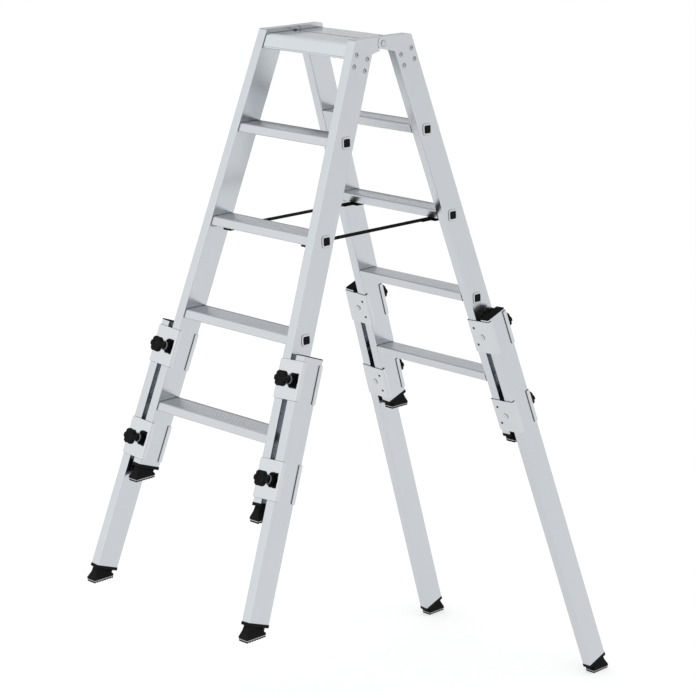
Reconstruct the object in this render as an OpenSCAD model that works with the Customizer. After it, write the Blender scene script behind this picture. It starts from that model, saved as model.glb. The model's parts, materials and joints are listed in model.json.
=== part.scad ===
// Double-sided step ladder with four sliding leg extensions.
// Units are millimetres, +Z is up, the front half leans towards -Y.
// Each half is drawn once, with +Y pointing away from the hinge line, and mirrored for the front.

/* [Stance] */
// Lean of each half from upright, degrees
lean = 19.95; // [12:0.05:24]
// Splay of each stile within its half, degrees
splay = 3.35; // [1:0.05:6]
// Half of the outside width at the hinge line
hinge_half_w = 173.5; // [150:0.5:220]
// Distance from the hinge line to the inner face of each half
hinge_to_half = 30.2; // [26:0.1:45]

/* [Stiles] */
// Stile width, across the ladder
stile_w = 28; // [22:0.5:40]
// Stile depth, along the treads
stile_d = 70.5; // [60:0.5:100]
// Wall of the stile and leg tubes
tube_wall = 2; // [1.5:0.1:4]
// Outside corner radius of the tubes
corner_r = 3; // [2.5:0.1:6]
// Lower end of the stile, measured along it from the hinge line
stile_end = 1185; // [1160:1:1300]
// Upper end of the stile tube, where the hinge head starts
stile_start = 36; // [34:1:40]

/* [Treads] */
// Rise from tread to tread
step_rise = 234.5; // [230:0.5:250]
// Drop from the hinge line to the first tread
first_drop = 218.5; // [215:0.5:240]
// Setback of the tread's front lip from the stile's front face
lip_setback = 4.7; // [2:0.1:10]
// Thickness of the tread plate
tread_t = 2.6; // [2:0.1:4]
// Height of the tread's front lip
front_lip_h = 20; // [16:0.5:26]
// Height of the tread's back lip
back_lip_h = 23.5; // [18:0.5:26]
// Thickness of the lips
lip_t = 2.2; // [1.6:0.1:3]
// Radius of the tread's front edge
nose_r = 4.5; // [3:0.5:8]
// Radius of the tread's back edge
heel_r = 4.5; // [3:0.5:8]
// Grooves in each tread
groove_count = 9; // [4:1:14]
// Width of a groove
groove_w = 2; // [1:0.1:3]
// Depth of a groove
groove_h = 0.8; // [0.4:0.1:1.2]
// Plain margin at the edges of a grooved tread
groove_margin = 6; // [3:0.5:12]
// Radius of the bead along a lip's lower edge
bead_r = 1.7; // [1.2:0.1:2.5]
// Width of the step tube under the tread
step_tube_w = 27; // [20:0.5:32]
// Height of the step tube under the tread
step_tube_h = 25; // [20:0.5:28]
// Wall of the step tube
step_tube_wall = 2.2; // [1.5:0.1:3]
// Corner radius of the step tube
step_tube_r = 6; // [4:0.5:9]
// Width of the flare round the step tube outside the stile
flare_w = 2.6; // [1.5:0.1:4]
// Thickness of that flare
flare_t = 1.4; // [0.8:0.1:2.5]
// Depth of a step plug's face inside the flare
plug_sink = 0.4; // [0.1:0.1:1]
// Gap between a tread's end and the stile
tread_end_gap = 0.8; // [0.5:0.1:2]

/* [Hinge heads] */
// Height of the rims above the hinge line
rim_top = 16; // [8:0.5:18]
// Radius of the rim's outer corners
rim_corner_r = 8; // [4:0.5:12]
// Radius of the hinge eyes
eye_r = 19; // [16:0.5:22]
// Turn from level to the foot of the eye's round, degrees
eye_low_turn = 38; // [30:1:45]
// Gap between an eye and the head it turns in
eye_gap = 2; // [0.4:0.1:3]
// Gap between the lapped faces of two heads
lap_gap = 0.6; // [0.4:0.1:1.2]
// Radius of the hinge pin
pin_r = 5; // [4:0.25:8]
// Radial running clearance of the hinge pin
pin_clear = 0.06; // [0.02:0.01:0.1]
// Radius of the pin's outer head
pin_head_r = 8; // [7:0.5:11]
// Height of the pin's outer head
pin_head_h = 2; // [1:0.25:4]
// Room round the pin's heads in their seats
pin_head_gap = 0.8; // [0.4:0.1:1.5]
// Depth of the flat seat under the pin's outer head
pin_seat = 0.6; // [0.5:0.1:1.5]
// Depth of the recess for the pin's inner head
pin_sink = 3.4; // [3:0.1:5]
// Axial play of the pin's inner head
pin_inner_gap = 0.2; // [0.1:0.05:0.4]
// Length of the spigot inside the stile
spigot_l = 66; // [62:1:100]
// Fit of the spigots and plugs inside the tubes
plug_fit = 0.1; // [0.05:0.05:0.3]

/* [Top tread] */
// Height of the top tread above the hinge line
top_tread_z = 5; // [3:0.5:7]
// Half of the gap between the two top treads
top_gap = 1.6; // [1.4:0.1:3]
// Height of the top tread's front apron
apron_h = 31; // [22:0.5:36]
// Radius of the apron's upper edge
apron_r = 9; // [4:0.5:12]
// Radius of the hollow bead under the apron
apron_bead_r = 2.8; // [2:0.1:4]
// Distance from the hinge line to the box under the top tread
top_box_y = 31; // [28:0.5:34]
// Width of the box under the top tread
top_box_w = 30; // [26:0.5:34]
// Height of the box under the top tread
top_box_h = 18; // [14:0.5:20]
// Reach of the head's lug inside that box
lug_l = 24; // [12:1:40]

/* [Rivets] */
// Radius of the hinge head rivets
rivet_head_r = 6.5; // [4:0.25:8]
// Height of the hinge head rivets
rivet_head_h = 2.4; // [1:0.1:4]
// Radius of their shanks
rivet_shank_r = 3.2; // [2:0.1:4]
// Radius of the hollow in a rivet's head
rivet_hollow_r = 2.4; // [1:0.1:3]
// Depth of that hollow
rivet_hollow_h = 1.3; // [0.5:0.1:2]
// Fit of a rivet in its hole
rivet_fit = 0.05; // [0.02:0.01:0.1]
// First rivet row, along the stile from the hinge line
rivet_row_1 = 53; // [50:0.5:60]
// Distance between the two rivet rows
rivet_row_gap = 30; // [24:0.5:34]
// Half of the distance between rivets in a row
rivet_half_gap = 20; // [14:0.5:24]
// Radius of the clamp rivets
clamp_rivet_r = 3.6; // [2.5:0.1:5]
// Height of the clamp rivets
clamp_rivet_h = 1.4; // [0.8:0.1:2.5]

/* [Legs] */
// Gap between stile and leg
leg_gap = 17; // [15:0.5:24]
// Sliding clearance of the leg in its clamps
leg_clear = 0.35; // [0.3:0.05:0.6]
// Upper end of a front leg, along the stile
front_leg_start = 810; // [800:1:818]
// Length of a front leg tube
front_leg_l = 664; // [500:1:1200]
// Upper end of a rear leg, along the stile
rear_leg_start = 819; // [800:1:822]
// Length of a rear leg tube
rear_leg_l = 1147; // [500:1:1200]
// Thickness of the leg's top cap
cap_t = 2.6; // [2:0.1:5]
// Overhang of the cap beyond the tube
cap_lip = 0; // [0:0.1:0.2]
// Depth of the caps and feet inside the tubes
plug_l = 22; // [12:1:40]

/* [Clamps] */
// Upper end of the upper clamp, along the stile
clamp_start = 824; // [822:1:840]
// Distance between the two clamps of a leg
clamp_pitch = 249.5; // [200:0.5:256]
// Length of a clamp plate
clamp_l = 98; // [80:1:104]
// Thickness of a clamp plate
clamp_t = 2.5; // [2:0.1:4]
// Depth of the plate's side flanges
clamp_flange = 11; // [8:0.5:20]
// Room between the plate's flanges and the sides of stile and leg
clamp_side_gap = 1.2; // [0.4:0.1:3]
// Half of the distance between the two rivets of an inner plate
clamp_rivet_half_gap = 25.5; // [18:0.5:32]
// Radius of the clamp bolt
bolt_r = 4; // [3:0.5:5]
// Radius of the bolt's head
bolt_head_r = 8; // [7:0.5:10]
// Height of the bolt's head
bolt_head_h = 3; // [2:0.25:5]
// Clearance of the bolt in the plates
bolt_hole_clear = 0.3; // [0.2:0.05:0.6]
// Radius of the washer under a knob
washer_r = 12.5; // [10:0.5:15]
// Thickness of that washer
washer_t = 1.6; // [1:0.1:3]

/* [Knobs] */
// Radial clearance of the knob on its bolt
knob_clear = 0.06; // [0.02:0.01:0.1]
// Gap between knob and washer
knob_gap = 0.3; // [0.3:0.05:0.6]
// Lobes of the knob's star
knob_lobes = 6; // [5:1:8]
// Overall radius of the star
knob_r = 21.5; // [18:0.5:24]
// Radius of a lobe
lobe_r = 6.2; // [4:0.2:7]
// Radius of the star's core
knob_core_r = 16.2; // [13:0.2:18]
// Height of the star
knob_star_h = 13; // [9:0.5:16]
// Radius of the knob's hub
knob_hub_r = 10.5; // [9:0.5:13]
// Height of the knob's hub
knob_hub_h = 15; // [6:0.5:18]
// Length of bolt inside the knob
bolt_in_knob = 17; // [12:0.5:20]
// Rounding of the star's edges
knob_edge_r = 4.5; // [3:0.25:6]
// Depth of the dished face on top
knob_dish = 0.8; // [0.4:0.1:1.5]
// Rim left round that dished face
knob_rim = 2; // [1:0.25:4]

/* [Feet] */
// Distance from the tube's end to the sole, along the tube
foot_reach = 39; // [38:0.5:48]
// Thickness of the collar round the tube's end
collar_t = 8; // [5:0.5:9]
// Overhang of that collar beyond the tube
collar_lip = 1.2; // [0.6:0.1:2]
// Length of the sole
sole_l = 63; // [56:0.5:72]
// Width of the sole
sole_w = 31; // [26:0.5:34]
// Thickness of the sole
sole_t = 6; // [4:0.5:8]
// Ribs under the sole
sole_ribs = 8; // [5:1:12]
// Depth of the ribs
sole_rib_h = 2; // [1:0.1:3]
// Inset of the foot's neck from the tube
neck_inset = 4.5; // [2:0.5:6]
// Height of the shoe's upright edge above the sole
shoe_edge_h = 5; // [3:0.5:8]
// Run of the shoe's slope over the toe
toe_slope = 16; // [10:0.5:22]
// Height of the heel's lip above the ground
heel_lip_z = 21; // [18:0.5:26]
// Depth of the hollow under the heel's lip
heel_hollow = 4.5; // [2:0.5:8]
// Height at which the shoe's sides reach the neck
neck_z = 26; // [22:0.5:32]

/* [Straps] */
// Tread that carries the straps, counted from the top
strap_step = 2; // [1:1:3]
// Distance of each strap from the middle
strap_x = 144; // [100:1:150]
// Width of the webbing
strap_w = 25; // [18:1:35]
// Thickness of the webbing
strap_t = 2; // [1.5:0.1:3]
// Gap between the webbing and the tread's tube
strap_gap = 0.3; // [0.3:0.1:1]
// Length of the webbing's tail, folded back under its end
strap_tail_l = 75; // [40:1:90]
// Length of the clip under the tread's tube
clip_l = 34; // [28:1:40]
// Overhang of the clip beyond the webbing's edges
clip_side = 1; // [0.5:0.25:4]
// Thickness of the clip
clip_t = 4; // [3:0.25:6]
// Radius of the clip's screw head
clip_screw_r = 4; // [3:0.25:6]
// Height of the clip's screw head
clip_screw_h = 1.8; // [1:0.1:3]

/* [Hidden] */
$fn = 48;
far = 400;
arc_steps = 10;
inner_v = hinge_to_half;
outer_v = hinge_to_half + stile_d;
mid_v = (inner_v + outer_v) / 2;
leg_mid = leg_gap + stile_w / 2;
leg_d = stile_d - 2 * leg_clear;
bolt_off = leg_gap / 2;
tread_depth = (outer_v - lip_setback - inner_v) / cos(lean);
step_tube_top = tread_t - tread_t / 3;
step_tube_y = tread_depth / 2;
clamp_outer_v = outer_v + clamp_t;
clamp_inner_v = inner_v - clamp_t;
knob_base_v = clamp_outer_v + washer_t + knob_gap;
knob_h = knob_hub_h + knob_star_h;
lap_x = hinge_half_w - stile_w / 2;
foot_top = foot_reach + 1;
tread_counter = [0, 1, 2, 3];
sides = [-1, 1];

// Height and distance from the hinge line of a point given across, out of and along a stile
function slope_of(off, t) = t * cos(splay) - off * sin(splay);
function x_of(off, t) = hinge_half_w + t * sin(splay) + off * cos(splay);
function y_of(off, v, t) = slope_of(off, t) * sin(lean) + v * cos(lean);
function z_of(off, v, t) = v * sin(lean) - slope_of(off, t) * cos(lean);
// Distance from the hinge line of the plane v at height z
function y_at(v, z) = (v - z * sin(lean)) / cos(lean);
function tread_z(k) = -first_drop - k * step_rise;

front_sole_y = y_of(leg_mid, mid_v, front_leg_start + front_leg_l + foot_reach);
rear_sole_y = y_of(leg_mid, mid_v, rear_leg_start + rear_leg_l + foot_reach);
sole_z = z_of(leg_mid, mid_v, rear_leg_start + rear_leg_l + foot_reach);
// The row's origin is under the middle of the whole object
shift_y = (front_sole_y - rear_sole_y) / 2;

// Placing

module rear_half() {
    translate([0, shift_y, -sole_z]) children();
}

module front_half() {
    rear_half() mirror([0, 1, 0]) children();
}

module on_side(side) {
    mirror([side < 0 ? 1 : 0, 0, 0]) children();
}

// Local axes of a stile: X across it and outwards, Y out of the half, Z up along it
module along_stile() {
    rotate([lean, 0, 0]) translate([hinge_half_w, 0, 0]) rotate([0, -splay, 0]) children();
}

// Turns a profile drawn as distance and height into a bar along X
module bar(length, from) {
    translate([from, 0, 0]) rotate([90, 0, 90]) linear_extrude(length) children();
}

module rounded(w, d, r) {
    square([w - 2 * r, d], center = true);
    square([w, d - 2 * r], center = true);
    for (x = [-1, 1], y = [-1, 1]) translate([x * (w / 2 - r), y * (d / 2 - r)]) circle(r);
}

// Slab between two planes parallel to the stile's broad faces
module stile_slab(from, to) {
    along_stile() translate([from, -far, -2 * far]) cube([to - from, 2 * far, 3 * far]);
}

module stile_slab_long(from, to) {
    along_stile() translate([from, -far, -4 * far]) cube([to - from, 3 * far, 4 * far]);
}

// Solid column with the tube's outside section
module column(mid_x, depth, from, to, shrink) {
    translate([mid_x, mid_v, -to]) linear_extrude(to - from)
        rounded(stile_w - 2 * shrink, depth - 2 * shrink, max(corner_r - shrink, 0.8));
}

module tube(mid_x, depth, from, to) {
    difference() {
        column(mid_x, depth, from, to, 0);
        column(mid_x, depth, from - 1, to + 1, tube_wall);
    }
}

// Stiles

module step_tube_section(grow) {
    translate([step_tube_y, -step_tube_top - step_tube_h / 2])
        rounded(step_tube_w + 2 * grow, step_tube_h + 2 * grow, step_tube_r + grow);
}

module at_tread(k) {
    translate([0, y_at(inner_v, tread_z(k)), tread_z(k)]) children();
}

module head_rivet_places() {
    for (row = [0, 1], y = [-1, 1])
        translate([0, mid_v + y * rivet_half_gap, -rivet_row_1 - row * rivet_row_gap])
            rotate([0, 90, 0]) children();
}

module clamp_places() {
    for (n = [0, 1]) translate([0, 0, -clamp_start - n * clamp_pitch - clamp_l / 2]) children();
}

module clamp_rivet_places() {
    clamp_places() for (z = [-1, 1])
        translate([-stile_w / 2, clamp_inner_v, z * clamp_rivet_half_gap]) rotate([90, 0, 0]) children();
}

module stile() {
    difference() {
        along_stile() tube(-stile_w / 2, stile_d, stile_start, stile_end);
        for (k = tread_counter) at_tread(k) bar(far, 0) step_tube_section(plug_fit);
        along_stile() head_rivet_places()
            translate([0, 0, -2 * tube_wall]) cylinder(r = rivet_shank_r, h = 3 * tube_wall);
        along_stile() clamp_rivet_places()
            translate([0, 0, -clamp_t - 2 * tube_wall]) cylinder(r = clamp_rivet_r / 2, h = 3 * tube_wall);
    }
}

// Treads

function arc(centre, radius, from, to) = [for (n = [0 : arc_steps])
    centre + radius * [cos(from + (to - from) * n / arc_steps), sin(from + (to - from) * n / arc_steps)]];

// Plate with a rounded front edge and a lip parallel to the stile, its top at height 0.
// Its front corner would be at the origin; back lists the points that close it behind.
module lipped_plate(radius, height, back) {
    square_to_lip = [cos(lean), sin(lean)];
    centre = [-radius * (1 - sin(lean)) / cos(lean), -radius];
    lip_foot = [height * tan(lean), -height];
    polygon(concat(arc(centre, radius, 90, lean), [lip_foot, lip_foot - lip_t * square_to_lip],
        arc(centre, radius - lip_t, lean, 90), [[centre.x, -tread_t]], back));
    // bead along the lip's lower edge
    translate(lip_foot - lip_t * square_to_lip) circle(bead_r);
}

// Grooves in the upper side of a plate, between two distances
module grooves(from, to) {
    for (n = [0 : groove_count - 1])
        translate([from + n * (to - from - groove_w) / (groove_count - 1), -groove_h])
            square([groove_w, 2 * groove_h]);
}

module tread_section() {
    // the back lip leans as the stile does, so it meets the plate at an open angle
    back_foot = [back_lip_h * tan(lean), -back_lip_h];
    heel = [heel_r * (1 + sin(lean)) / cos(lean), -heel_r];
    across_lip = lip_t * [cos(lean), sin(lean)];
    back_lip = concat([[heel.x, -tread_t]], arc(heel, heel_r - lip_t, 90, 180 + lean),
        [back_foot + across_lip, back_foot], arc(heel, heel_r, 180 + lean, 90));
    difference() {
        union() {
            translate([tread_depth, 0])
                lipped_plate(nose_r, front_lip_h, [for (point = back_lip) point - [tread_depth, 0]]);
            // bead inside the back lip's lower edge
            translate(back_foot + across_lip) circle(bead_r);
            // web joining the step tube to the plate
            translate([step_tube_y - step_tube_w / 2 + step_tube_r, -step_tube_top - step_tube_wall / 2])
                square([step_tube_w - 2 * step_tube_r, step_tube_top]);
        }
        grooves(groove_margin, tread_depth - groove_margin);
    }
}

module step(k) {
    reach = x_of(0, -tread_z(k) / cos(lean)) + stile_w;
    difference() {
        at_tread(k) union() {
            bar(2 * reach, -reach) tread_section();
            bar(2 * reach, -reach) step_tube_section(0);
        }
        // the tread stops short of the stiles, the tube passes through them
        for (side = sides) on_side(side) difference() {
            stile_slab_long(-stile_w - tread_end_gap, far);
            at_tread(k) bar(far, 0) step_tube_section(0);
        }
        for (side = sides) on_side(side) stile_slab_long(0, far);
        at_tread(k) bar(2 * far, -far) step_tube_section(-step_tube_wall);
    }
    for (side = sides) on_side(side) intersection() {
        stile_slab_long(0, flare_t);
        at_tread(k) bar(far, 0) difference() {
            step_tube_section(flare_w);
            step_tube_section(-step_tube_wall);
        }
    }
}

module step_plugs() {
    for (k = tread_counter, side = sides) on_side(side) intersection() {
        stile_slab_long(-plug_l, flare_t - plug_sink);
        at_tread(k) bar(far, 0) step_tube_section(-step_tube_wall - plug_fit);
    }
}

// Top tread

module top_plate_section() {
    nose_y = y_at(outer_v - lip_setback, top_tread_z);
    translate([0, top_tread_z]) difference() {
        translate([nose_y, 0])
            lipped_plate(apron_r, apron_h, [[top_gap - nose_y, -tread_t], [top_gap - nose_y, 0]]);
        grooves(top_gap + groove_margin, nose_y - apron_r - groove_margin / 2);
    }
}

// Outline of the bead under the apron, flush with the apron's outer face
module apron_bead_section(radius) {
    nose_y = y_at(outer_v - lip_setback, top_tread_z);
    down_lip = [sin(lean), -cos(lean)];
    square_to_lip = [cos(lean), sin(lean)];
    translate([nose_y + apron_h * tan(lean), top_tread_z - apron_h]
        + apron_bead_r * (0.8 * down_lip - square_to_lip)) circle(radius);
}

// Box under the top tread, its outline set in by a wall
module top_box_section(wall) {
    translate([top_box_y + wall, top_tread_z - tread_t - top_box_h + wall])
        square([top_box_w - 2 * wall, top_box_h - 2 * wall + tread_t / 2]);
}

module top_step() {
    difference() {
        union() {
            bar(2 * hinge_half_w, -hinge_half_w) top_plate_section();
            bar(2 * hinge_half_w, -hinge_half_w) top_box_section(0);
            bar(2 * hinge_half_w, -hinge_half_w) apron_bead_section(apron_bead_r);
        }
        bar(2 * far, -far) apron_bead_section(apron_bead_r / 2);
        bar(2 * far, -far) top_box_section(step_tube_wall);
        for (side = sides) on_side(side) stile_slab(-stile_w - tread_end_gap, far);
    }
}

// Hinge heads

// Side view of a head: the stile's end, the rounded rim and the eye round the hinge line
module head_outline() {
    below = stile_start + stile_w * tan(splay) + 1;
    corner_z = rim_top - rim_corner_r;
    corner = [y_at(outer_v - rim_corner_r, corner_z), corner_z];
    polygon(concat([[y_of(0, inner_v, stile_start), z_of(0, inner_v, stile_start)],
        [y_of(0, inner_v, below), z_of(0, inner_v, below)], [y_of(0, outer_v, below), z_of(0, outer_v, below)]],
        arc(corner, rim_corner_r, lean, 90),
        arc([0, 0], eye_r, 180 - asin(rim_top / eye_r), 180 + eye_low_turn)));
}

// Space in line with the stile, with the stile's rounded outer corners, above the stile's end
module head_envelope() {
    along_stile() translate([0, 0, -stile_start]) linear_extrude(far) {
        translate([-stile_w, -far]) square([stile_w, far + outer_v - corner_r]);
        translate([-stile_w + corner_r, -far]) square([stile_w - 2 * corner_r, far + outer_v]);
        for (x = [-stile_w + corner_r, -corner_r]) translate([x, outer_v - corner_r]) circle(corner_r);
    }
}

// Flat seats for the pin's two heads
module pin_seats() {
    rotate([0, 90, 0]) {
        translate([0, 0, hinge_half_w - pin_seat]) cylinder(r = pin_head_r + pin_head_gap, h = far);
        translate([0, 0, lap_x - stile_w / 2 + pin_sink - far]) cylinder(r = pin_head_r + pin_head_gap, h = far);
    }
}

// outside is true where the eye lies in the outer half of the head's thickness
module hinge_head(outside) {
    intersection() {
        difference() {
            bar(far, 0) head_outline();
            // room for the other head's eye
            bar(far, outside ? lap_x + lap_gap / 2 - far : lap_x - lap_gap / 2) circle(eye_r + eye_gap);
            bar(2 * far, -far) circle(pin_r + pin_clear);
            pin_seats();
        }
        head_envelope();
    }
    // spigot inside the stile
    difference() {
        along_stile() column(-stile_w / 2, stile_d, stile_start - 1, stile_start + spigot_l,
            tube_wall + plug_fit);
        along_stile() head_rivet_places()
            translate([0, 0, -stile_w]) cylinder(r = rivet_shank_r, h = 2 * stile_w);
    }
    // lug that carries the top tread
    lug_fit = step_tube_wall + plug_fit;
    difference() {
        translate([lap_x - stile_w / 2 - lug_l, top_box_y + lug_fit, top_tread_z - tread_t - top_box_h + lug_fit])
            cube([lug_l + stile_w / 2, top_box_w - 2 * lug_fit, top_box_h - 2 * lug_fit]);
        stile_slab(-stile_w + 1, far);
    }
}

module hinge_heads(outside) {
    for (side = sides) on_side(side) hinge_head(outside);
}

module hinge_pin() {
    inner_x = lap_x - stile_w / 2 + pin_sink;
    rotate([0, 90, 0]) {
        translate([0, 0, inner_x - pin_inner_gap - pin_head_h]) cylinder(r = pin_head_r, h = pin_head_h);
        translate([0, 0, inner_x - pin_head_h]) cylinder(r = pin_r, h = hinge_half_w - inner_x + pin_head_h);
        translate([0, 0, hinge_half_w - pin_seat]) intersection() {
            cylinder(r = pin_head_r, h = pin_seat + pin_head_h);
            translate([0, 0, pin_seat + pin_head_h - 3 * pin_head_r]) sphere(3 * pin_head_r);
        }
    }
}

// Rivets

module head_rivet() {
    difference() {
        union() {
            intersection() {
                cylinder(r = rivet_head_r, h = rivet_head_h);
                translate([0, 0, rivet_head_h - 1.6 * rivet_head_r]) sphere(1.6 * rivet_head_r);
            }
            translate([0, 0, -3 * tube_wall]) cylinder(r = rivet_shank_r - rivet_fit, h = 3 * tube_wall + 1);
        }
        translate([0, 0, rivet_head_h - rivet_hollow_h]) cylinder(r = rivet_hollow_r, h = 2 * rivet_hollow_h);
    }
}

module clamp_rivet() {
    intersection() {
        cylinder(r = clamp_rivet_r, h = clamp_rivet_h);
        translate([0, 0, clamp_rivet_h - 1.8 * clamp_rivet_r]) sphere(1.8 * clamp_rivet_r);
    }
    translate([0, 0, -clamp_t - tube_wall - 1]) cylinder(r = clamp_rivet_r / 2 - rivet_fit, h = clamp_t + tube_wall + 1.5);
}

module rivets() {
    for (side = sides) on_side(side) along_stile() {
        head_rivet_places() head_rivet();
        clamp_rivet_places() clamp_rivet();
    }
}

// Clamps

module clamp_section() {
    wide = 2 * stile_w + leg_gap + 2 * clamp_side_gap;
    mid_x = leg_gap / 2;
    translate([mid_x, mid_v]) difference() {
        rounded(wide + 2 * clamp_t, stile_d + 2 * clamp_t, corner_r + clamp_t);
        rounded(wide, stile_d, corner_r);
    }
}

module clamp_plates() {
    for (side = sides) on_side(side) along_stile() clamp_places() difference() {
        translate([0, 0, -clamp_l / 2]) linear_extrude(clamp_l) difference() {
            clamp_section();
            translate([-far, inner_v + clamp_flange]) square([2 * far, stile_d - 2 * clamp_flange]);
        }
        translate([bolt_off, far, 0]) rotate([90, 0, 0]) cylinder(r = bolt_r + bolt_hole_clear, h = 2 * far);
        for (z = [-1, 1]) translate([-stile_w / 2, inner_v + 1, z * clamp_rivet_half_gap])
            rotate([90, 0, 0]) cylinder(r = clamp_rivet_r / 2, h = clamp_t + 2);
    }
}

module clamp_bolts() {
    for (side = sides) on_side(side) along_stile() clamp_places() translate([bolt_off, 0, 0]) rotate([-90, 0, 0]) {
        translate([0, 0, clamp_inner_v - bolt_head_h]) intersection() {
            cylinder(r = bolt_head_r, h = bolt_head_h);
            translate([0, 0, 2.6 * bolt_head_r]) sphere(2.6 * bolt_head_r);
        }
        translate([0, 0, clamp_inner_v - 1]) cylinder(r = bolt_r, h = knob_base_v + bolt_in_knob - clamp_inner_v + 1);
    }
}

module clamp_washers() {
    for (side = sides) on_side(side) along_stile() clamp_places()
        translate([bolt_off, clamp_outer_v, 0]) rotate([-90, 0, 0]) difference() {
            cylinder(r = washer_r, h = washer_t);
            translate([0, 0, -1]) cylinder(r = bolt_r + bolt_hole_clear, h = washer_t + 2);
        }
}

// Star knobs

module star() {
    circle(knob_core_r);
    for (n = [0 : knob_lobes - 1]) rotate(n * 360 / knob_lobes) {
        translate([knob_r - lobe_r, 0]) circle(lobe_r);
        translate([0, -lobe_r]) square([knob_r - lobe_r, 2 * lobe_r]);
    }
}

module knob() {
    difference() {
        union() {
            cylinder(r = knob_hub_r, h = knob_hub_h + 1);
            intersection() {
                translate([0, 0, knob_hub_h]) linear_extrude(knob_star_h) star();
                // rounds the star's upper and lower edges
                translate([0, 0, knob_hub_h + knob_star_h / 2]) rotate_extrude() intersection() {
                    union() {
                        rounded(2 * knob_r, knob_star_h, knob_edge_r);
                        square([2 * (knob_core_r - knob_edge_r), knob_star_h], center = true);
                    }
                    translate([0, -far / 2]) square([far, far]);
                }
            }
        }
        translate([0, 0, -1]) cylinder(r = bolt_r + knob_clear, h = bolt_in_knob + 2);
        // dished face on top
        translate([0, 0, knob_h - knob_dish]) cylinder(r = knob_hub_r - knob_rim, h = 2 * knob_dish);
    }
}

module placed_knob(n) {
    along_stile() translate([bolt_off, knob_base_v, -clamp_start - n * clamp_pitch - clamp_l / 2])
        rotate([-90, 0, 0]) knob();
}

// Legs

module leg(start, length) {
    along_stile() tube(leg_mid, leg_d, start, start + length);
}

module leg_cap(start) {
    along_stile() {
        column(leg_mid, leg_d, start - cap_t, start, -cap_lip);
        column(leg_mid, leg_d, start - 1, start + plug_l, tube_wall + plug_fit);
    }
}

// Feet

// Shape of the shoe seen from the side, measured from the middle of its sole
module shoe_side() {
    edge_z = sole_t + shoe_edge_h;
    polygon([[-sole_l / 2, sole_t], [sole_l / 2, sole_t], [sole_l / 2, edge_z],
        [sole_l / 2 - toe_slope, foot_top], [-sole_l / 2 - 1, heel_lip_z],
        [heel_hollow - sole_l / 2, (heel_lip_z + edge_z) / 2], [-sole_l / 2, edge_z]]);
}

// Shape of the shoe seen from the front
module shoe_front() {
    neck = stile_w / 2 - neck_inset;
    lean_in = neck_z * tan(splay);
    edge_z = sole_t + shoe_edge_h;
    polygon([[-sole_w / 2, sole_t], [sole_w / 2, sole_t], [sole_w / 2, edge_z],
        [neck - lean_in, neck_z], [neck - lean_in, foot_top], [-neck - lean_in, foot_top],
        [-neck - lean_in, neck_z], [-sole_w / 2, edge_z]]);
}

module at_sole(mid_x, end) {
    translate([x_of(mid_x, end + foot_reach), y_of(mid_x, mid_v, end + foot_reach),
        z_of(mid_x, mid_v, end + foot_reach)]) children();
}

module foot(mid_x, depth, end) {
    along_stile() {
        column(mid_x, depth, end - plug_l, end + 1, tube_wall + plug_fit);
        column(mid_x, depth, end, end + collar_t, -collar_lip);
    }
    intersection() {
        at_sole(mid_x, end) intersection() {
            bar(2 * sole_w, -sole_w) shoe_side();
            translate([0, far, 0]) rotate([90, 0, 0]) linear_extrude(2 * far) shoe_front();
        }
        // the shoe ends inside the collar
        along_stile() translate([mid_x - far, 0, -end - far]) cube([2 * far, 2 * far, far - 1]);
    }
}

module sole(mid_x, end) {
    rib = sole_l / (2 * sole_ribs - 1);
    at_sole(mid_x, end) difference() {
        linear_extrude(sole_t) rounded(sole_w, sole_l, 3);
        for (n = [0 : sole_ribs - 2])
            translate([-sole_w, -sole_l / 2 + (2 * n + 1) * rib, -1]) cube([2 * sole_w, rib, sole_rib_h + 1]);
    }
}

module base_feet() {
    for (side = sides) on_side(side) foot(-stile_w / 2, stile_d, stile_end);
}

module base_soles() {
    for (side = sides) on_side(side) sole(-stile_w / 2, stile_end);
}

// Straps

strap_top = tread_z(strap_step - 1) - step_tube_top - step_tube_h - strap_gap;
strap_low = strap_top - 2 * strap_t;
clip_mid_y = y_at(inner_v, tread_z(strap_step - 1)) + step_tube_y;
strap_end_y = clip_mid_y + step_tube_w / 2 - strap_t;

module straps_across() {
    for (side = sides) on_side(side) translate([strap_x - strap_w / 2, 0, 0]) {
        translate([0, -strap_end_y, strap_top - strap_t]) cube([strap_w, 2 * strap_end_y, strap_t]);
        for (end = [-strap_end_y, strap_end_y - strap_tail_l])
            translate([0, end, strap_low]) cube([strap_w, strap_tail_l, 1.5 * strap_t]);
    }
}

module strap_clips() {
    wide = strap_w + 2 * clip_side;
    for (side = sides) on_side(side) translate([strap_x, clip_mid_y, strap_low - clip_t]) {
        translate([-wide / 2, -clip_l / 2, 0]) cube([wide, clip_l, clip_t]);
        translate([0, 0, -clip_screw_h]) cylinder(r = clip_screw_r, h = clip_screw_h + clip_t / 2);
    }
}

// Colours

module metal() {
    color([0.80, 0.81, 0.83]) children();
}

module black() {
    color([0.06, 0.06, 0.065]) children();
}

// Nodes

metal() front_half() on_side(-1) stile();  // front_stile_left
metal() front_half() on_side(1) stile();  // front_stile_right
metal() rear_half() on_side(-1) stile();  // rear_stile_left
metal() rear_half() on_side(1) stile();  // rear_stile_right
metal() front_half() step(0);  // front_step_1
metal() front_half() step(1);  // front_step_2
metal() front_half() step(2);  // front_step_3
metal() front_half() step(3);  // front_step_4
metal() rear_half() step(0);  // rear_step_1
metal() rear_half() step(1);  // rear_step_2
metal() rear_half() step(2);  // rear_step_3
metal() rear_half() step(3);  // rear_step_4
metal() front_half() top_step();  // front_top_step
metal() rear_half() top_step();  // rear_top_step
black() front_half() step_plugs();  // front_step_plugs
black() rear_half() step_plugs();  // rear_step_plugs
metal() front_half() hinge_heads(false);  // front_hinge_heads
metal() rear_half() hinge_heads(true);  // rear_hinge_heads
metal() rear_half() for (side = sides) on_side(side) hinge_pin();  // hinge_pins
metal() front_half() rivets();  // front_rivets
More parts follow.
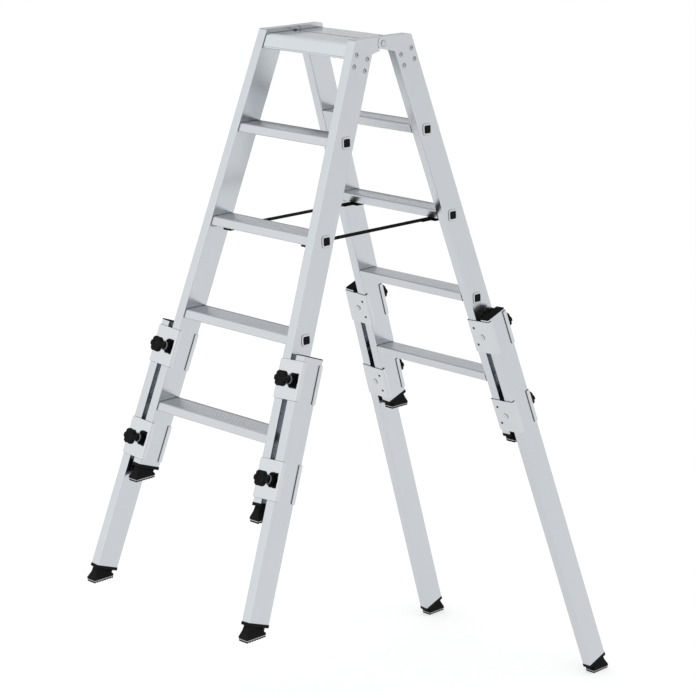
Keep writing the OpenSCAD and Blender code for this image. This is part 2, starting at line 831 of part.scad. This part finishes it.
metal() rear_half() rivets();  // rear_rivets
metal() front_half() clamp_plates();  // front_clamp_plates
metal() rear_half() clamp_plates();  // rear_clamp_plates
metal() front_half() clamp_bolts();  // front_clamp_bolts
metal() rear_half() clamp_bolts();  // rear_clamp_bolts
metal() front_half() clamp_washers();  // front_clamp_washers
metal() rear_half() clamp_washers();  // rear_clamp_washers
black() front_half() on_side(-1) placed_knob(0);  // knob_front_left_upper
black() front_half() on_side(-1) placed_knob(1);  // knob_front_left_lower
black() front_half() on_side(1) placed_knob(0);  // knob_front_right_upper
black() front_half() on_side(1) placed_knob(1);  // knob_front_right_lower
black() rear_half() on_side(-1) placed_knob(0);  // knob_rear_left_upper
black() rear_half() on_side(-1) placed_knob(1);  // knob_rear_left_lower
black() rear_half() on_side(1) placed_knob(0);  // knob_rear_right_upper
black() rear_half() on_side(1) placed_knob(1);  // knob_rear_right_lower
black() front_half() base_feet();  // front_base_feet
black() rear_half() base_feet();  // rear_base_feet
black() front_half() base_soles();  // front_base_soles
black() rear_half() base_soles();  // rear_base_soles
metal() front_half() on_side(-1) leg(front_leg_start, front_leg_l);  // front_leg_left
metal() front_half() on_side(1) leg(front_leg_start, front_leg_l);  // front_leg_right
metal() rear_half() on_side(-1) leg(rear_leg_start, rear_leg_l);  // rear_leg_left
metal() rear_half() on_side(1) leg(rear_leg_start, rear_leg_l);  // rear_leg_right
black() front_half() on_side(-1) leg_cap(front_leg_start);  // front_leg_cap_left
black() front_half() on_side(1) leg_cap(front_leg_start);  // front_leg_cap_right
black() rear_half() on_side(-1) leg_cap(rear_leg_start);  // rear_leg_cap_left
black() rear_half() on_side(1) leg_cap(rear_leg_start);  // rear_leg_cap_right
black() front_half() on_side(-1) foot(leg_mid, leg_d, front_leg_start + front_leg_l);  // front_leg_foot_left
black() front_half() on_side(1) foot(leg_mid, leg_d, front_leg_start + front_leg_l);  // front_leg_foot_right
black() rear_half() on_side(-1) foot(leg_mid, leg_d, rear_leg_start + rear_leg_l);  // rear_leg_foot_left
black() rear_half() on_side(1) foot(leg_mid, leg_d, rear_leg_start + rear_leg_l);  // rear_leg_foot_right
black() front_half() on_side(-1) sole(leg_mid, front_leg_start + front_leg_l);  // front_leg_sole_left
black() front_half() on_side(1) sole(leg_mid, front_leg_start + front_leg_l);  // front_leg_sole_right
black() rear_half() on_side(-1) sole(leg_mid, rear_leg_start + rear_leg_l);  // rear_leg_sole_left
black() rear_half() on_side(1) sole(leg_mid, rear_leg_start + rear_leg_l);  // rear_leg_sole_right
black() rear_half() straps_across();  // straps
black() front_half() strap_clips();  // front_strap_clips
black() rear_half() strap_clips();  // rear_strap_clips
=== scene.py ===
import json
import math

import bpy
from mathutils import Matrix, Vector


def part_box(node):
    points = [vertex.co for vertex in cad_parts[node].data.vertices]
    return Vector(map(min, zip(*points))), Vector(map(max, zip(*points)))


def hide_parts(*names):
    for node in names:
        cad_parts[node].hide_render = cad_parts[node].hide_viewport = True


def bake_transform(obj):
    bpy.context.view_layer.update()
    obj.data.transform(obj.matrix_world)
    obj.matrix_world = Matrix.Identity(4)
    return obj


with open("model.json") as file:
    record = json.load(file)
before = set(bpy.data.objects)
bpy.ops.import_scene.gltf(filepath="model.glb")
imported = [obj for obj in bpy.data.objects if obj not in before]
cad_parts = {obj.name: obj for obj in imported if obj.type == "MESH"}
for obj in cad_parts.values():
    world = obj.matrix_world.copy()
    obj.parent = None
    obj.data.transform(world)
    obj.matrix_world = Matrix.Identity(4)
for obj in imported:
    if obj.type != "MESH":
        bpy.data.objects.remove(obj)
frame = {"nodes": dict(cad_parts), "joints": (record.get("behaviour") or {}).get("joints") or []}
nodes = frame["nodes"]
joints = {joint["name"]: joint for joint in frame["joints"]}
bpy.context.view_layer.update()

# Camera
# A long lens from the ladder's front right corner, a little above its top, as in the photograph.
camera_place = (4.2119, -4.2609, 2.6119)
camera_down = math.radians(14.879)
camera_turn = math.radians(44.915)
camera_roll = math.radians(-0.0445)
camera_lens = 120.08
film_width = 36
sight_limit = 200
camera_data = bpy.data.cameras.new("camera")
camera_data.lens = camera_lens
camera_data.sensor_width = film_width
camera_data.clip_end = sight_limit
camera = bpy.data.objects.new("camera", camera_data)
camera.location = camera_place
camera.rotation_euler = (math.pi / 2 - camera_down, camera_roll, camera_turn)
bpy.context.scene.collection.objects.link(camera)
bpy.context.scene.camera = camera
bpy.context.scene.view_settings.view_transform = "Standard"

# Studio floor
# A wide pale floor under the rear soles. It glows for the camera and for reflections, so that it shows
# white and still keeps the ladder's soft shadow.
floor_size = 120
floor_drop = 0.001
floor_grey = 0.45
floor_glow = 0.55


def feed(tree, value, socket):
    """Links a socket to another one, or gives it a plain value."""
    if isinstance(value, bpy.types.NodeSocket):
        tree.links.new(value, socket)
    else:
        socket.default_value = value


def maths(tree, operation, first, second=None):
    """The output of a Math node whose inputs are sockets or numbers."""
    node = tree.nodes.new("ShaderNodeMath")
    node.operation = operation
    feed(tree, first, node.inputs[0])
    if second is not None:
        feed(tree, second, node.inputs[1])
    return node.outputs[0]


bpy.ops.object.select_all(action="DESELECT")
bpy.ops.mesh.primitive_plane_add(size=floor_size, location=(0, 0, -floor_drop))
floor = bpy.context.object
floor.name = "floor"
floor_white = bpy.data.materials.new("floor_white")
floor_white.use_nodes = True
tree = floor_white.node_tree
tree.nodes.clear()
diffuse = tree.nodes.new("ShaderNodeBsdfDiffuse")
diffuse.inputs["Color"].default_value = (floor_grey, floor_grey, floor_grey, 1)
ray = tree.nodes.new("ShaderNodeLightPath")
shown = maths(tree, "ADD", ray.outputs["Is Camera Ray"], ray.outputs["Is Glossy Ray"])
glow = tree.nodes.new("ShaderNodeEmission")
both = tree.nodes.new("ShaderNodeAddShader")
output = tree.nodes.new("ShaderNodeOutputMaterial")
tree.links.new(maths(tree, "MULTIPLY", shown, floor_glow), glow.inputs["Strength"])
tree.links.new(diffuse.outputs[0], both.inputs[0])
tree.links.new(glow.outputs[0], both.inputs[1])
tree.links.new(both.outputs[0], output.inputs["Surface"])
floor.data.materials.append(floor_white)

# Room light
# White walls, a little brighter in front of the ladder than behind it. A weak soft panel overhead lights
# the floor, and the metal doesn't mirror it. The camera sees the walls plain white.
wall_front = 1.22
wall_back = 0.80
white_to_camera = 1
room_tint = (0.985, 0.995, 1, 1)
panel_place = (0.6, -1.4, 5.2)
panel_aim = (0, 0, 1)
panel_watts = 40
panel_size = 3


def along(tree, source, axis):
    """One axis of a Texture Coordinate output: where a point lies, or how far a face looks that way."""
    coordinates = tree.nodes.new("ShaderNodeTexCoord")
    parts = tree.nodes.new("ShaderNodeSeparateXYZ")
    tree.links.new(coordinates.outputs[source], parts.inputs[0])
    return parts.outputs[axis]


def fade(tree, value, start, full, least=0, most=1):
    """Goes from least to most while the socket value goes from start to full."""
    node = tree.nodes.new("ShaderNodeMapRange")
    node.inputs["From Min"].default_value = start
    node.inputs["From Max"].default_value = full
    node.inputs["To Min"].default_value = least
    node.inputs["To Max"].default_value = most
    tree.links.new(value, node.inputs["Value"])
    return node.outputs["Result"]


room = bpy.data.worlds.new("room")
room.use_nodes = True
tree = room.node_tree
ray = tree.nodes.new("ShaderNodeLightPath")
seen = tree.nodes.new("ShaderNodeMix")
seen.inputs["B"].default_value = white_to_camera
walls = fade(tree, along(tree, "Generated", "Y"), -1, 1, least=wall_front, most=wall_back)
tree.links.new(ray.outputs["Is Camera Ray"], seen.inputs["Factor"])
tree.links.new(walls, seen.inputs["A"])
tree.links.new(seen.outputs["Result"], tree.nodes["Background"].inputs["Strength"])
tree.nodes["Background"].inputs["Color"].default_value = room_tint
bpy.context.scene.world = room

panel_data = bpy.data.lights.new("overhead_panel", "AREA")
panel_data.energy = panel_watts
panel_data.size = panel_size
panel = bpy.data.objects.new("overhead_panel", panel_data)
panel.location = panel_place
panel.rotation_euler = (Vector(panel_aim) - Vector(panel_place)).to_track_quat("-Z", "Y").to_euler()
panel.visible_glossy = False
bpy.context.scene.collection.objects.link(panel)

# Stiles and sliding legs
# Extruded aluminium tubes, 28 by 70 mm, left bright. The die leaves faint lines along each tube, and
# painted shade darkens the colour where two pieces meet.
die_stretch = (1, 1, 0.01)
die_detail = 3
die_clouds = 9
cloud_detail = 2
crevice_width = 0.004
crevice_samples = 8
crevice_shut = 0.35
crevice_open = 0.85
crevice_shade = 0.10
die_bump = 0.08
die_relief = 0.0001
tube_light = (0.590, 0.612, 0.640, 1)
tube_dark = (0.565, 0.587, 0.613, 1)
tube_fineness = 700


def marks_group(name, stretch, detail, cloud_scale):
    """A node group of fine marks, drawn out as stretch says, and of wide faint clouds."""
    group = bpy.data.node_groups.new(name, "ShaderNodeTree")
    group.interface.new_socket("Vector", in_out="INPUT", socket_type="NodeSocketVector")
    group.interface.new_socket("Fineness", in_out="INPUT", socket_type="NodeSocketFloat")
    group.interface.new_socket("Height", in_out="OUTPUT", socket_type="NodeSocketFloat")
    group.interface.new_socket("Shade", in_out="OUTPUT", socket_type="NodeSocketFloat")
    group_in = group.nodes.new("NodeGroupInput")
    group_out = group.nodes.new("NodeGroupOutput")
    drawn_out = group.nodes.new("ShaderNodeVectorMath")
    drawn_out.operation = "MULTIPLY"
    drawn_out.inputs[1].default_value = stretch
    fine = group.nodes.new("ShaderNodeTexNoise")
    fine.inputs["Detail"].default_value = detail
    clouds = group.nodes.new("ShaderNodeTexNoise")
    clouds.inputs["Scale"].default_value = cloud_scale
    clouds.inputs["Detail"].default_value = cloud_detail
    group.links.new(group_in.outputs["Vector"], drawn_out.inputs[0])
    group.links.new(drawn_out.outputs[0], fine.inputs["Vector"])
    group.links.new(group_in.outputs["Fineness"], fine.inputs["Scale"])
    group.links.new(group_in.outputs["Vector"], clouds.inputs["Vector"])
    group.links.new(fine.outputs["Fac"], group_out.inputs["Height"])
    group.links.new(clouds.outputs["Fac"], group_out.inputs["Shade"])
    return group


def colour_mix(tree, blend, factor, first, second):
    """The colour of a Mix node whose inputs are sockets or plain values."""
    node = tree.nodes.new("ShaderNodeMix")
    node.data_type = "RGBA"
    node.blend_type = blend
    feed(tree, factor, node.inputs["Factor"])
    feed(tree, first, node.inputs["A"])
    feed(tree, second, node.inputs["B"])
    return node.outputs["Result"]


def openness(tree, reach, shut, clear, least):
    """Goes from least in a hollow to 1 in the open, judged within reach of the surface."""
    open_air = tree.nodes.new("ShaderNodeAmbientOcclusion")
    open_air.samples = crevice_samples
    open_air.inputs["Distance"].default_value = reach
    return fade(tree, open_air.outputs["AO"], shut, clear, least=least)


drawn_lines = marks_group("drawn_lines", die_stretch, die_detail, die_clouds)
# Painted shade: this group darkens a colour in hollows and where pieces meet, judged by ambient occlusion.
crevice_shading = bpy.data.node_groups.new("crevice_shading", "ShaderNodeTree")
crevice_shading.interface.new_socket("Color", in_out="INPUT", socket_type="NodeSocketColor")
crevice_shading.interface.new_socket("Color", in_out="OUTPUT", socket_type="NodeSocketColor")
group_in = crevice_shading.nodes.new("NodeGroupInput")
group_out = crevice_shading.nodes.new("NodeGroupOutput")
occlusion_shade = openness(crevice_shading, crevice_width, crevice_shut, crevice_open, crevice_shade)
shaded_in_hollows = colour_mix(crevice_shading, "MULTIPLY", 1, group_in.outputs["Color"], occlusion_shade)
crevice_shading.links.new(shaded_in_hollows, group_out.inputs["Color"])


def finish(name, marks_tree, light, dark, smooth, rough, fineness, bump_strength, relief, turn=(0, 0, 0)):
    """A surface with fine marks: two shades, two glosses, a shallow relief and painted shade in hollows."""
    material = bpy.data.materials.new(name)
    material.use_nodes = True
    tree = material.node_tree
    surface = tree.nodes["Principled BSDF"]
    place = tree.nodes.new("ShaderNodeTexCoord")
    turned = tree.nodes.new("ShaderNodeMapping")
    turned.inputs["Rotation"].default_value = turn
    marks = tree.nodes.new("ShaderNodeGroup")
    marks.node_tree = marks_tree
    marks.inputs["Fineness"].default_value = fineness
    crevice_shader = tree.nodes.new("ShaderNodeGroup")
    crevice_shader.node_tree = crevice_shading
    bump = tree.nodes.new("ShaderNodeBump")
    bump.inputs["Strength"].default_value = bump_strength
    bump.inputs["Distance"].default_value = relief
    tree.links.new(place.outputs["Object"], turned.inputs["Vector"])
    tree.links.new(turned.outputs[0], marks.inputs["Vector"])
    tone = colour_mix(tree, "MIX", marks.outputs["Shade"], dark, light)
    gloss = fade(tree, marks.outputs["Height"], 0, 1, least=smooth, most=rough)
    # The colour takes painted shade in hollows before it reaches the surface.
    tree.links.new(tone, crevice_shader.inputs["Color"])
    tree.links.new(crevice_shader.outputs["Color"], surface.inputs["Base Color"])
    tree.links.new(gloss, surface.inputs["Roughness"])
    tree.links.new(marks.outputs["Height"], bump.inputs["Height"])
    tree.links.new(bump.outputs[0], surface.inputs["Normal"])
    return material


def drawn_aluminium(name, turn, light, dark, smooth, rough, fineness):
    """Extruded aluminium whose lines run along Z once the object is turned by turn."""
    material = finish(name, drawn_lines, light, dark, smooth, rough, fineness, die_bump, die_relief, turn)
    material.node_tree.nodes["Principled BSDF"].inputs["Metallic"].default_value = 1
    return material


def dress(node, material):
    """Gives a node its finish."""
    nodes[node].data.materials.clear()
    nodes[node].data.materials.append(material)


for half in ("front", "rear"):
    for side in ("left", "right"):
        up = Vector(joints[f"{half}_{side}_leg_slide"]["axis"])
        turn = (math.atan2(up.y, up.z), math.atan2(-up.x, math.hypot(up.y, up.z)), 0)
        tube = drawn_aluminium(f"tube_{half}_{side}", turn, tube_light, tube_dark,
                               smooth=0.16, rough=0.26, fineness=tube_fineness)
        dress(f"{half}_stile_{side}", tube)
        dress(f"{half}_leg_{side}", tube)

# Treads
# Extruded aluminium steps with a box tube underneath. Their die lines run across the ladder. The upper
# side is painted paler as a painted highlight, and the rounded edges are painted darker as painted shade.
# Painted shade fades out from the rear edge, and lies deeper on the upper treads.
tread_light = (0.600, 0.618, 0.640, 1)
tread_dark = (0.570, 0.588, 0.610, 1)
tread_turn = (0, math.pi / 2, 0)
tread_fineness = 600
top_painted_light = (1.14, 1.14, 1.15, 1)
top_light_starts = 0.94
top_light_full = 0.995
nose_painted_shade = (0.74, 0.75, 0.77, 1)
nose_starts = 0.42
nose_full = 0.50
# Painted shade along each tread's rear edge, deeper on the listed treads.
rear_painted_shade = (0.13, 0.133, 0.138, 1)
rear_shade_depth = 0.012
deep_rear_shade = {"front_step_1": 0.045, "rear_step_1": 0.036, "rear_step_2": 0.036}
rear_shade_inset = 0.004


def shade_over(material, blend, mask, shade):
    """Blends a shade over the material's colour as far as the mask says."""
    tree = material.node_tree
    surface = tree.nodes["Principled BSDF"]
    colour = surface.inputs["Base Color"].links[0].from_socket
    tree.links.new(colour_mix(tree, blend, mask, colour, shade), surface.inputs["Base Color"])


def tread_finish(node):
    """Tread aluminium: painted highlight on top, painted shade on the rounded and the node's rear edge."""
    tread = drawn_aluminium(f"finish_{node}", tread_turn, tread_light, tread_dark,
                            smooth=0.28, rough=0.40, fineness=tread_fineness)
    tree = tread.node_tree
    upward = along(tree, "Normal", "Z")
    rear_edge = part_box(node)[1].y
    rear_shade_starts = rear_edge - deep_rear_shade.get(node, rear_shade_depth)
    upper_side = fade(tree, upward, top_light_starts, top_light_full)
    above_lip = fade(tree, upward, nose_starts, nose_full)
    near_edge = fade(tree, along(tree, "Object", "Y"), rear_shade_starts, rear_edge - rear_shade_inset)
    # Painted shade on the rounded edges, a painted highlight on the upper side, painted shade at the rear
    # edge.
    shade_over(tread, "MULTIPLY", maths(tree, "SUBTRACT", above_lip, upper_side), nose_painted_shade)
    shade_over(tread, "MULTIPLY", upper_side, top_painted_light)
    shade_over(tread, "MULTIPLY", maths(tree, "MULTIPLY", upper_side, near_edge), rear_painted_shade)
    return tread


for half in ("front", "rear"):
    for number in (1, 2, 3, 4):
        dress(f"{half}_step_{number}", tread_finish(f"{half}_step_{number}"))

# Top treads
# Two flat extrusions that close the ladder's top, with a rounded apron. They are smoother than the treads,
# and painted shade darkens them along the joint between them.
top_light = (0.620, 0.644, 0.675, 1)
top_dark = (0.595, 0.619, 0.650, 1)
joint_y = joints["spread"]["pos_m"][1]
joint_shade_width = 0.005
joint_darkest = 0.003
joint_shade = 0.15
top_tread = drawn_aluminium("top_tread_aluminium", tread_turn, top_light, top_dark,
                            smooth=0.10, rough=0.18, fineness=tread_fineness)
tree = top_tread.node_tree
from_joint = maths(tree, "ABSOLUTE", maths(tree, "SUBTRACT", along(tree, "Object", "Y"), joint_y))
# Painted shade along the joint, where the gap between the top treads lies in shadow.
shade_over(top_tread, "MULTIPLY", 1, fade(tree, from_joint, joint_darkest, joint_shade_width, least=joint_shade))
for half in ("front", "rear"):
    dress(f"{half}_top_step", top_tread)

# Hinge heads
# Aluminium castings pushed into the stile ends, smooth on their faces with a slight sand grain. Their
# upward faces are painted darker as painted shade.
cast_light = (0.600, 0.620, 0.645, 1)
cast_dark = (0.570, 0.590, 0.615, 1)
cast_fineness = 900
grain_detail = 4
grain_clouds = 14
grain_bump = 0.15
metal_relief = 0.0001
upward_painted_shade = (0.45, 0.45, 0.46, 1)
upward_shade_starts = 0.75
upward_shade_full = 0.95
speckle = marks_group("speckle", (1, 1, 1), grain_detail, grain_clouds)


def grained(name, light, dark, smooth, rough, fineness, relief):
    """A cast, rolled, plated or moulded surface with an even fine grain."""
    return finish(name, speckle, light, dark, smooth, rough, fineness, grain_bump, relief)


def metal(name, light, dark, smooth, rough, fineness):
    """A grained metal."""
    material = grained(name, light, dark, smooth, rough, fineness, metal_relief)
    material.node_tree.nodes["Principled BSDF"].inputs["Metallic"].default_value = 1
    return material


casting = metal("cast_aluminium", cast_light, cast_dark, smooth=0.12, rough=0.24, fineness=cast_fineness)
tree = casting.node_tree
facing_up = fade(tree, along(tree, "Normal", "Z"), upward_shade_starts, upward_shade_full)
# Painted shade on the upward faces.
shade_over(casting, "MULTIPLY", facing_up, upward_painted_shade)
for half in ("front", "rear"):
    dress(f"{half}_hinge_heads", casting)

# Bolts and washers of the clamps
# Pressed steel with a bright zinc finish. The bolts pass between stile and leg.
zinc_light = (0.60, 0.61, 0.63, 1)
zinc_dark = (0.52, 0.53, 0.55, 1)
zinc_fineness = 1400
zinc = metal("bright_zinc", zinc_light, zinc_dark, smooth=0.16, rough=0.28, fineness=zinc_fineness)
for half in ("front", "rear"):
    for kind in ("bolts", "washers"):
        dress(f"{half}_clamp_{kind}", zinc)

# Rivets and hinge pins
# Steel with the same zinc, set across the ladder. Painted shade darkens all but their flat
# ends, and darkens their hollows.
rim_and_hollow_painted_shade = 0.04
end_starts = 0.70
end_full = 0.98
hollow_reach = 0.01
hollow_shut = 0.55
hollow_open = 0.95
ringed_zinc = metal("ringed_zinc", zinc_light, zinc_dark, smooth=0.16, rough=0.28, fineness=zinc_fineness)
tree = ringed_zinc.node_tree
sideways = maths(tree, "ABSOLUTE", along(tree, "Normal", "X"))
flat_end = fade(tree, sideways, end_starts, end_full, least=rim_and_hollow_painted_shade)
in_the_open = openness(tree, hollow_reach, hollow_shut, hollow_open, rim_and_hollow_painted_shade)
# Painted shade on the rims and in the hollows.
shade_over(ringed_zinc, "MULTIPLY", 1, maths(tree, "MULTIPLY", flat_end, in_the_open))
for node in ("hinge_pins", "front_rivets", "rear_rivets"):
    dress(node, ringed_zinc)

# Clamp plates
# Bent aluminium sheet that wraps stile and leg, rolled bright and riveted to the stile.
sheet_light = (0.620, 0.640, 0.660, 1)
sheet_dark = (0.595, 0.615, 0.635, 1)
sheet_fineness = 1100
sheet = metal("rolled_sheet", sheet_light, sheet_dark, smooth=0.06, rough=0.12, fineness=sheet_fineness)
for half in ("front", "rear"):
    dress(f"{half}_clamp_plates", sheet)

# Knobs, plugs, feet and clips
# Black moulded plastic with a fine spark-eroded grain.
black_light = (0.0120, 0.0120, 0.0125, 1)
black_dark = (0.0085, 0.0085, 0.009, 1)
black_fineness = 1600
black_relief = 0.0002
black_shine = 0.035
plastic = grained("black_plastic", black_light, black_dark, smooth=0.36, rough=0.50,
                  fineness=black_fineness, relief=black_relief)
plastic.node_tree.nodes["Principled BSDF"].inputs["Specular IOR Level"].default_value = black_shine
black_nodes = [name for name in nodes if name.startswith("knob")]
for half in ("front", "rear"):
    for kind in ("step_plugs", "base_feet", "strap_clips", "leg_foot_left", "leg_foot_right"):
        black_nodes.append(f"{half}_{kind}")
for node in black_nodes:
    dress(node, plastic)

# Leg caps
# Plugs of the same plastic that close the legs' upper ends, with a dull face.
cap_plastic = grained("dull_plastic", black_light, black_dark, smooth=0.7, rough=0.9,
                      fineness=black_fineness, relief=black_relief)
cap_plastic.node_tree.nodes["Principled BSDF"].inputs["Specular IOR Level"].default_value = 0
for half in ("front", "rear"):
    for side in ("left", "right"):
        dress(f"{half}_leg_cap_{side}", cap_plastic)

# Soles
# Ribbed black rubber under each foot. A painted highlight runs as a pale line along each sole's upper edge.
rubber_light = (0.006, 0.006, 0.006, 1)
rubber_dark = (0.004, 0.004, 0.004, 1)
rubber_fineness = 2200
rubber_relief = 0.0003
rubber_shine = 0.14
sole_painted_highlight = (0.62, 0.62, 0.63, 1)
highlight_starts = 0.0019
highlight_full = 0.00152


def sole_rubber(node):
    """Rubber with a painted highlight, a pale line along the node's upper edge."""
    rubber = grained(f"rubber_{node}", rubber_light, rubber_dark, smooth=0.6, rough=0.8,
                     fineness=rubber_fineness, relief=rubber_relief)
    tree = rubber.node_tree
    tree.nodes["Principled BSDF"].inputs["Specular IOR Level"].default_value = rubber_shine
    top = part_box(node)[1].z
    edge = fade(tree, along(tree, "Object", "Z"), top - highlight_starts, top - highlight_full)
    # Painted highlight along the upper edge.
    shade_over(rubber, "MIX", edge, sole_painted_highlight)
    return rubber


for half in ("front", "rear"):
    for node in (f"{half}_base_soles", f"{half}_leg_sole_left", f"{half}_leg_sole_right"):
        dress(node, sole_rubber(node))

# Straps
# Flat black webbing, 25 mm wide, from tread to tread. Each end is folded back under itself and sewn down.
strap_x = 0.144
strap_width = 0.025
strap_thick = 0.002
strap_middle = -0.0838
strap_half = 0.2431
strap_top = 1.3774
strap_tail = 0.075
strap_faces_across = 4
strap_faces_along = 60
round_share = 0.35
selvedge_steps = 3
smooth_below = math.radians(50)
stitch_rows = (0.006, 0.011)
stitch_pitch = 0.0032
stitch_count = 7
stitch_length = 0.0024
thread_thick = 0.0008
thread_sides = 10
thread_steps = 2
webbing_light = (0.0025, 0.0025, 0.0025, 1)
webbing_dark = (0.0015, 0.0015, 0.0015, 1)
webbing_fineness = 900
webbing_shine = 0.05
weave_pitch = 0.0012
weave_relief = 0.0004
weave_bump = 0.6
# A wave texture of scale 1 has this pitch, in metres.
wave_pitch = 2 * math.pi / 20
webbing = grained("webbing", webbing_light, webbing_dark, smooth=0.8, rough=0.95,
                  fineness=webbing_fineness, relief=weave_relief)
tree = webbing.node_tree
tree.nodes["Principled BSDF"].inputs["Specular IOR Level"].default_value = webbing_shine
place = tree.nodes.new("ShaderNodeTexCoord")
ribs = tree.nodes.new("ShaderNodeTexWave")
ribs.bands_direction = "Y"
ribs.inputs["Scale"].default_value = wave_pitch / weave_pitch
warp = tree.nodes.new("ShaderNodeTexWave")
warp.bands_direction = "X"
warp.inputs["Scale"].default_value = wave_pitch / (2 * weave_pitch)
weave = maths(tree, "MULTIPLY", ribs.outputs["Fac"], warp.outputs["Fac"])
tree.links.new(place.outputs["Object"], ribs.inputs["Vector"])
tree.links.new(place.outputs["Object"], warp.inputs["Vector"])
tree.links.new(weave, tree.nodes["Bump"].inputs["Height"])
tree.nodes["Bump"].inputs["Strength"].default_value = weave_bump


def sheet_of_webbing(name, middle, length):
    """A flat length of webbing with rounded selvedges, its upper side at middle."""
    bpy.ops.object.select_all(action="DESELECT")
    bpy.ops.mesh.primitive_grid_add(x_subdivisions=strap_faces_across, y_subdivisions=strap_faces_along,
                                    size=1)
    band = bpy.context.object
    band.name = name
    bpy.ops.object.mode_set(mode="EDIT")
    bpy.ops.mesh.select_all(action="SELECT")
    bpy.ops.transform.resize(value=(strap_width, length, 1))
    bpy.ops.transform.translate(value=middle)
    bpy.ops.object.mode_set(mode="OBJECT")
    thick = band.modifiers.new("thick", "SOLIDIFY")
    thick.thickness = strap_thick
    thick.offset = -1
    round_edges = band.modifiers.new("round_edges", "BEVEL")
    round_edges.width = round_share * strap_thick
    round_edges.segments = selvedge_steps
    bpy.ops.object.modifier_apply(modifier=thick.name)
    bpy.ops.object.modifier_apply(modifier=round_edges.name)
    bpy.ops.object.shade_smooth_by_angle(angle=smooth_below)
    return band


def row_of_stitches(name, first, step, count):
    """A row of thread loops that hold the folded end down."""
    bpy.ops.object.select_all(action="DESELECT")
    bpy.ops.mesh.primitive_cylinder_add(vertices=thread_sides, radius=thread_thick / 2, depth=stitch_length,
                                        location=first, rotation=(0, math.pi / 2, 0))
    stitch = bpy.context.object
    stitch.name = name
    bpy.ops.object.transform_apply(location=True, rotation=True, scale=True)
    ends = stitch.modifiers.new("ends", "BEVEL")
    ends.width = round_share * thread_thick
    ends.segments = thread_steps
    repeat = stitch.modifiers.new("repeat", "ARRAY")
    repeat.use_relative_offset = False
    repeat.use_constant_offset = True
    repeat.constant_offset_displace = step
    repeat.count = count
    bpy.ops.object.modifier_apply(modifier=ends.name)
    bpy.ops.object.modifier_apply(modifier=repeat.name)
    bpy.ops.object.shade_smooth()
    return stitch


right_strap = sheet_of_webbing("strap_right", (strap_x, strap_middle, strap_top), 2 * strap_half)
pieces = [right_strap]
first_stitch_x = strap_x - (stitch_count - 1) * stitch_pitch / 2
for end in (-1, 1):
    tail_middle = strap_middle + end * (strap_half - strap_tail / 2)
    pieces.append(sheet_of_webbing("tail", (strap_x, tail_middle, strap_top - strap_thick), strap_tail))
    for row in stitch_rows:
        row_y = strap_middle + end * (strap_half - strap_tail + row)
        for height in (strap_top, strap_top - 2 * strap_thick):
            first = (first_stitch_x, row_y, height)
            pieces.append(row_of_stitches("stitches", first, (stitch_pitch, 0, 0), stitch_count))
bpy.ops.object.select_all(action="DESELECT")
for piece in pieces:
    piece.select_set(True)
bpy.context.view_layer.objects.active = right_strap
bpy.ops.object.join()
right_strap.data.materials.clear()
right_strap.data.materials.append(webbing)
bpy.ops.object.duplicate(linked=False)
left_strap = bpy.context.object
left_strap.name = "strap_left"
bpy.ops.transform.translate(value=(-2 * strap_x, 0, 0))
bpy.ops.object.transform_apply(location=True, rotation=True, scale=True)
for strap, across in ((left_strap, -strap_x), (right_strap, strap_x)):
    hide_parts("straps")
    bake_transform(strap)
